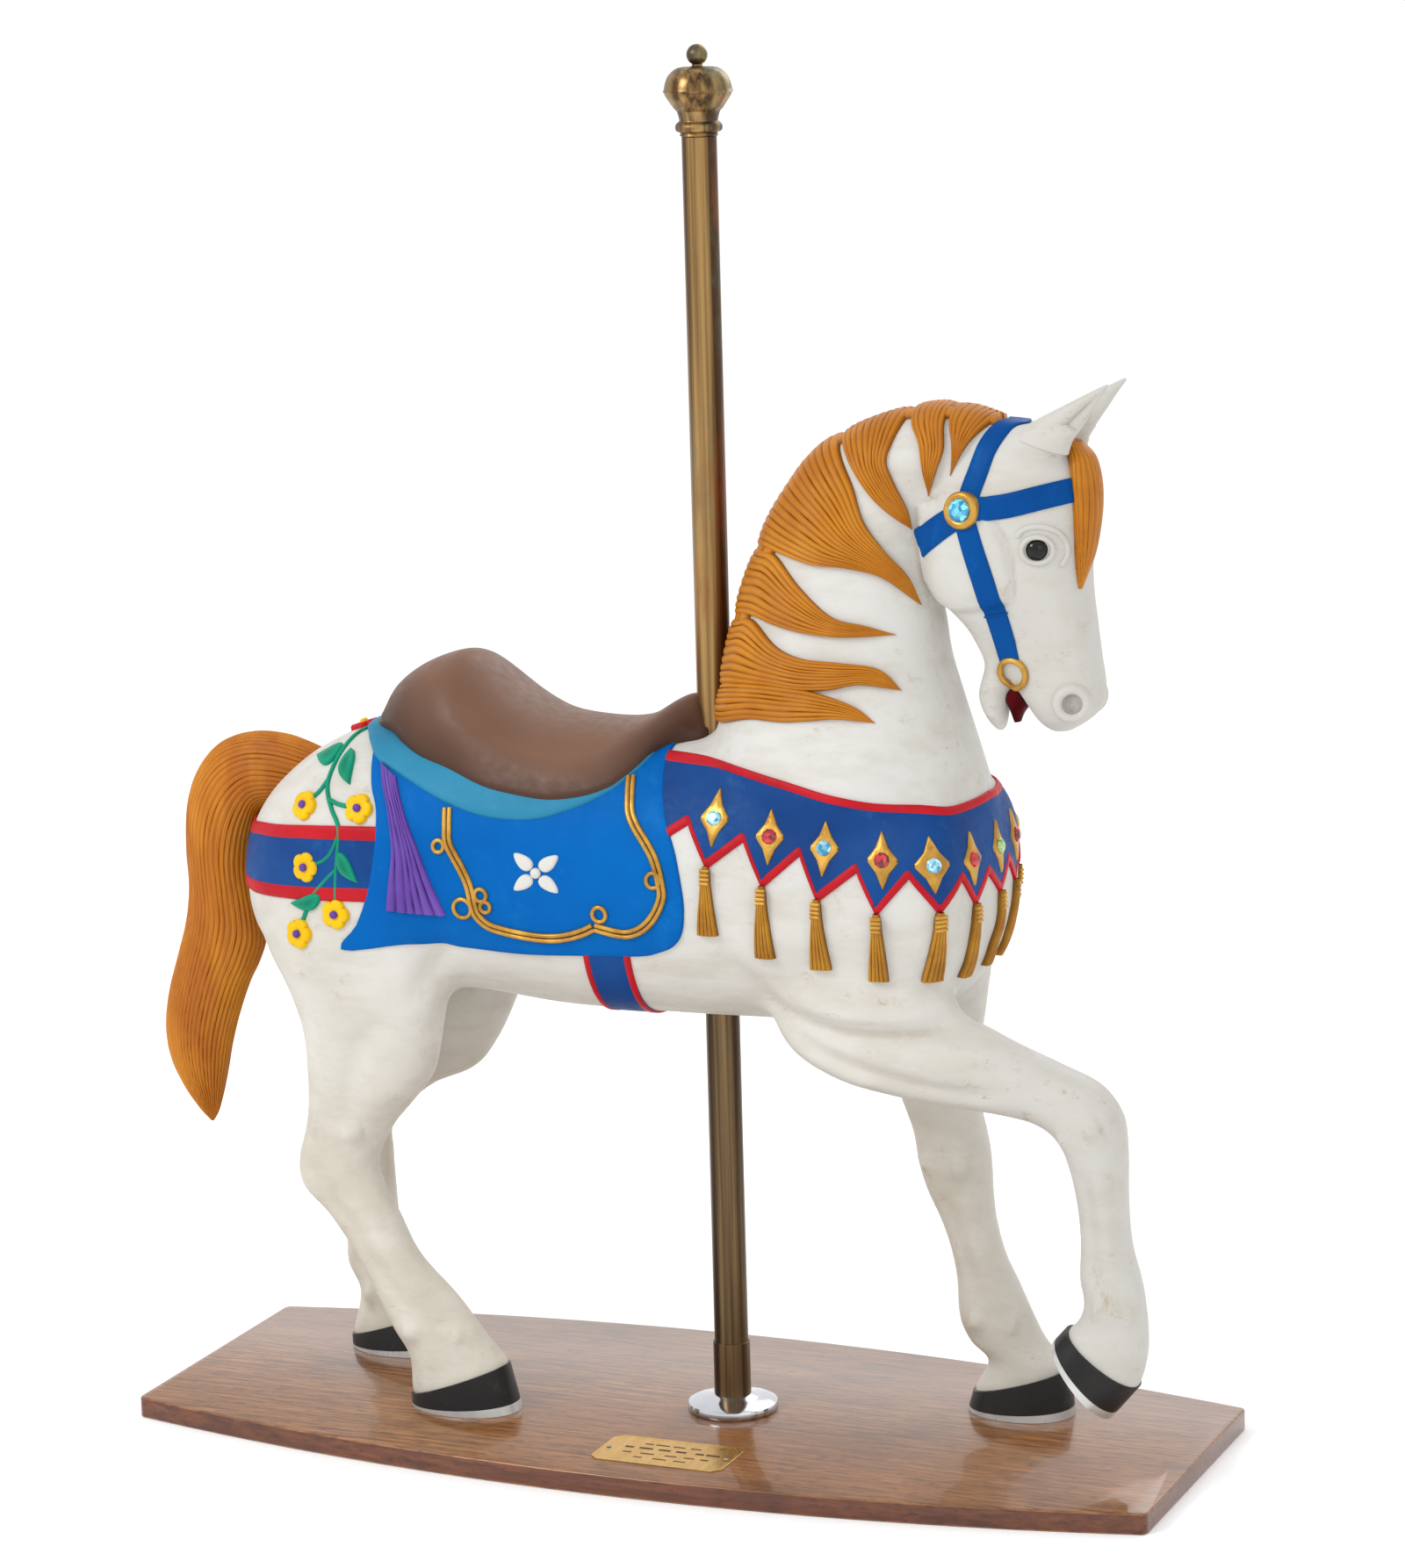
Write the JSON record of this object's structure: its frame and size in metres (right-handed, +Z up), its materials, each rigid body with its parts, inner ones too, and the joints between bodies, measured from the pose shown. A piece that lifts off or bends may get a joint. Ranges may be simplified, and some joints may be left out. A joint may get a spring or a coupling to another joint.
{
  "type": "carousel horse",
  "caption": "Carved and painted carousel horse on a brass pole, standing on a bow-sided veneered board with a plaque.",
  "frame": {"origin": "centre of the board's underside", "axes": "+Z up along the pole, +X towards the horse's head, +Y to the horse's left"},
  "size_m": [1.253, 0.508, 1.5493],
  "materials": {
    "board_veneer": "gloss varnish over brown veneer",
    "chrome": "polished",
    "aged_brass": "aged and tarnished",
    "plaque_brass": "brushed",
    "screw_steel": "satin",
    "painted_wood": "satin paint over carved wood",
    "eye_glass": "black glass",
    "aqua_glass": "foiled cut glass",
    "red_glass": "foiled cut glass",
    "lime_glass": "foiled cut glass"
  },
  "bodies": {
    "root": {"base_board": "board_veneer", "floor_flange": "chrome", "pole_sleeve": "aged_brass", "pole": "aged_brass", "finial": "aged_brass", "plaque": "plaque_brass", "plaque_screw_1": "screw_steel", "plaque_screw_2": "screw_steel", "horse": "painted_wood", "eye_right": "eye_glass", "eye_left": "eye_glass", "rosette_jewel_right": "aqua_glass", "rosette_jewel_left": "aqua_glass", "breast_jewel_right_1": "aqua_glass", "breast_jewel_right_2": "red_glass", "breast_jewel_right_3": "aqua_glass", "breast_jewel_right_4": "red_glass", "breast_jewel_right_5": "aqua_glass", "breast_jewel_right_6": "red_glass", "breast_jewel_left_5": "aqua_glass", "breast_jewel_left_6": "red_glass", "breast_jewel_centre": "lime_glass"}
  },
  "joints": []
}
